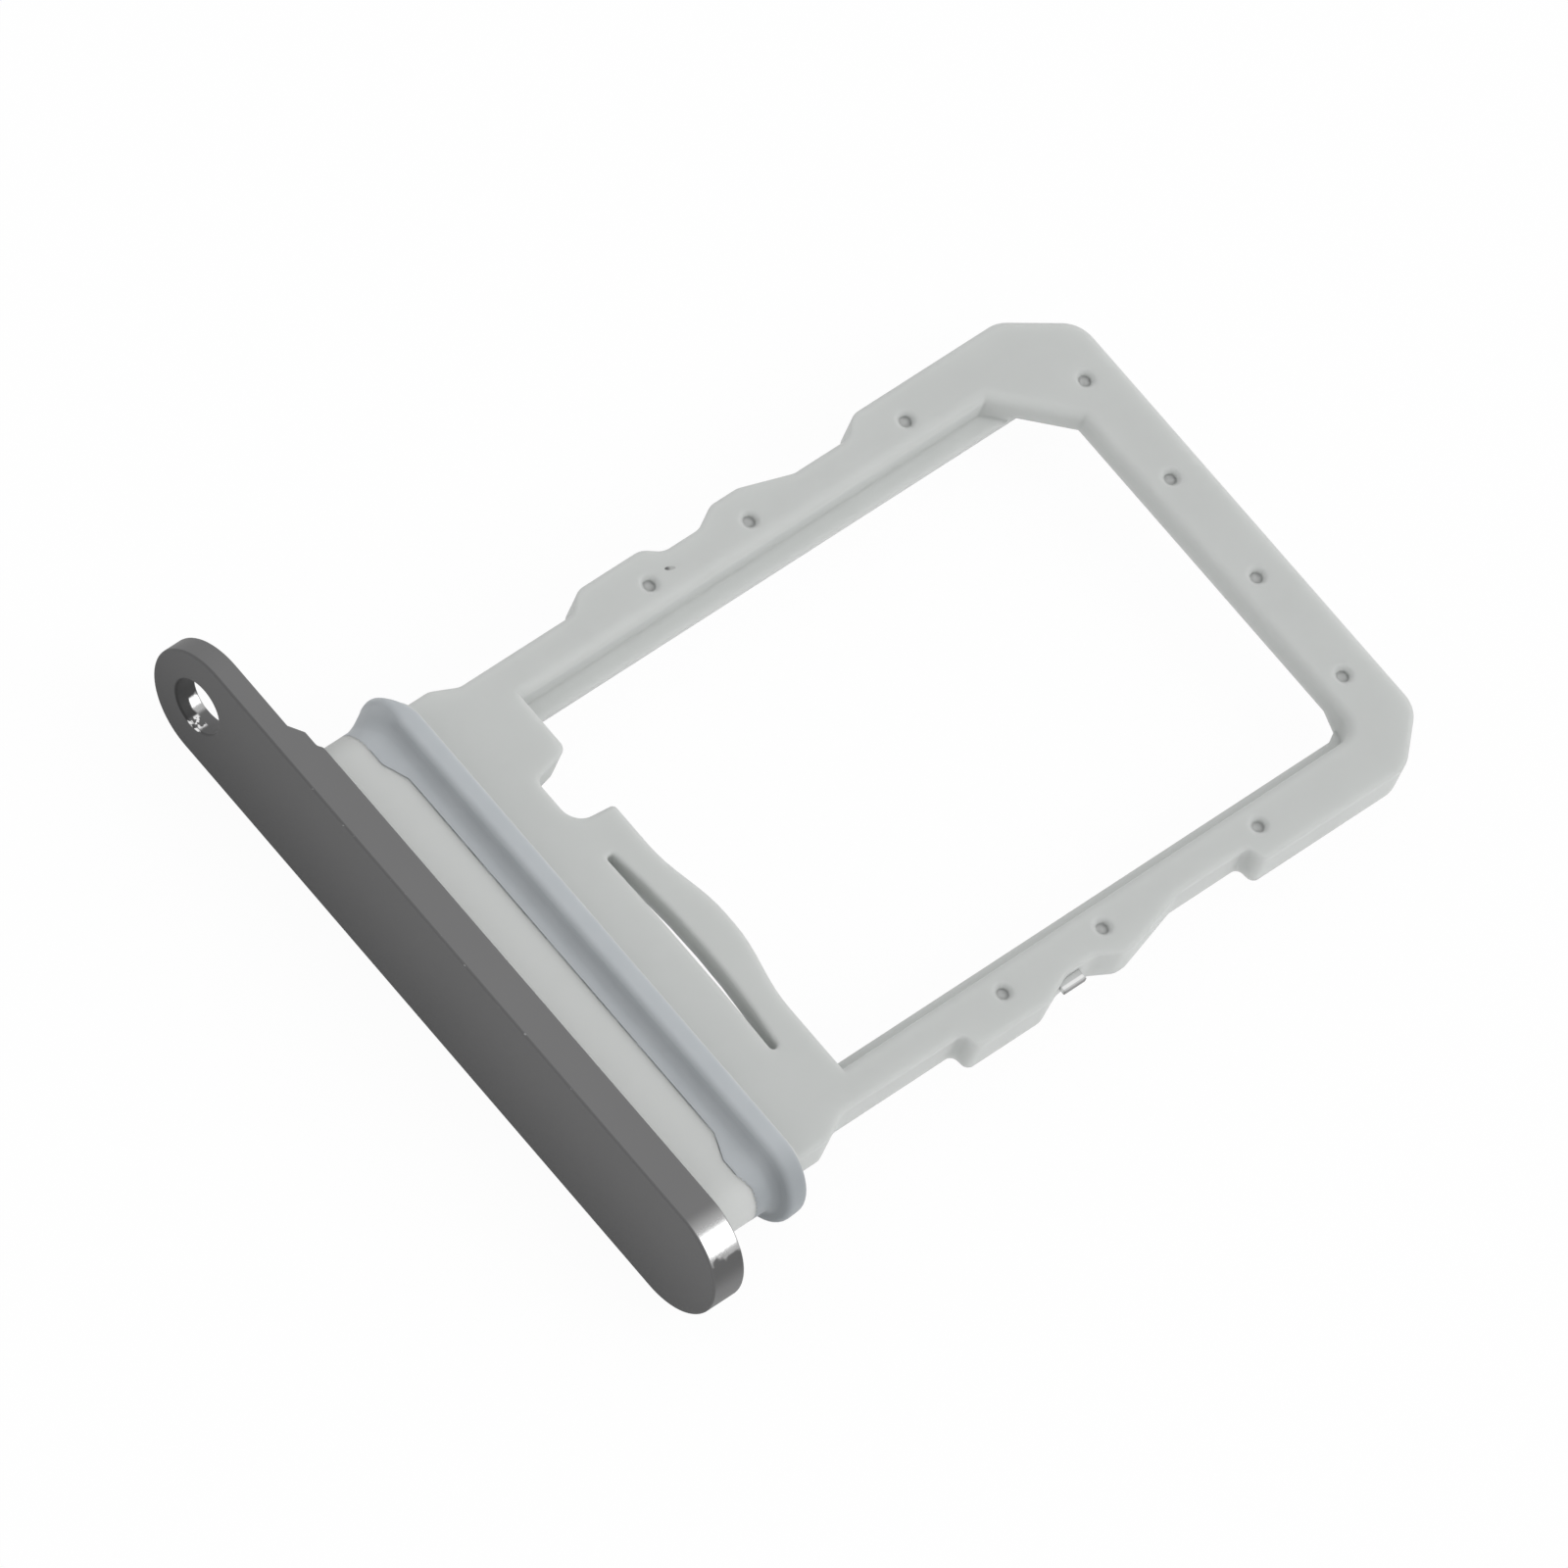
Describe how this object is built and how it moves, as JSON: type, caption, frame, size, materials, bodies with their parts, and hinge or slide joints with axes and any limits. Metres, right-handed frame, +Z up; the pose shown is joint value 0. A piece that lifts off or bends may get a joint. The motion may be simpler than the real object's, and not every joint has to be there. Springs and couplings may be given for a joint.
{
  "type": "sim card tray",
  "caption": "Phone SIM card tray: pill-shaped metal bezel with a pin hole, neck with a rubber seal, and an open card frame with a spring beam.",
  "frame": {"origin": "middle of the tray's length and width, at the level of the bezel's lower edge", "axes": "+X along the bezel, away from the pin hole; +Y from the bezel into the phone; +Z up, out of the card pocket"},
  "size_m": [0.0156, 0.0188, 0.0025],
  "materials": {
    "bezel_metal": "anodised, satin",
    "frame_plastic": "fine moulded",
    "seal_silicone": "matte silicone",
    "insert_steel": "rolled sheet"
  },
  "bodies": {
    "root": {"bezel": "bezel_metal", "tray_frame": "frame_plastic", "seal_ring": "seal_silicone", "metal_insert": "insert_steel"}
  },
  "joints": []
}
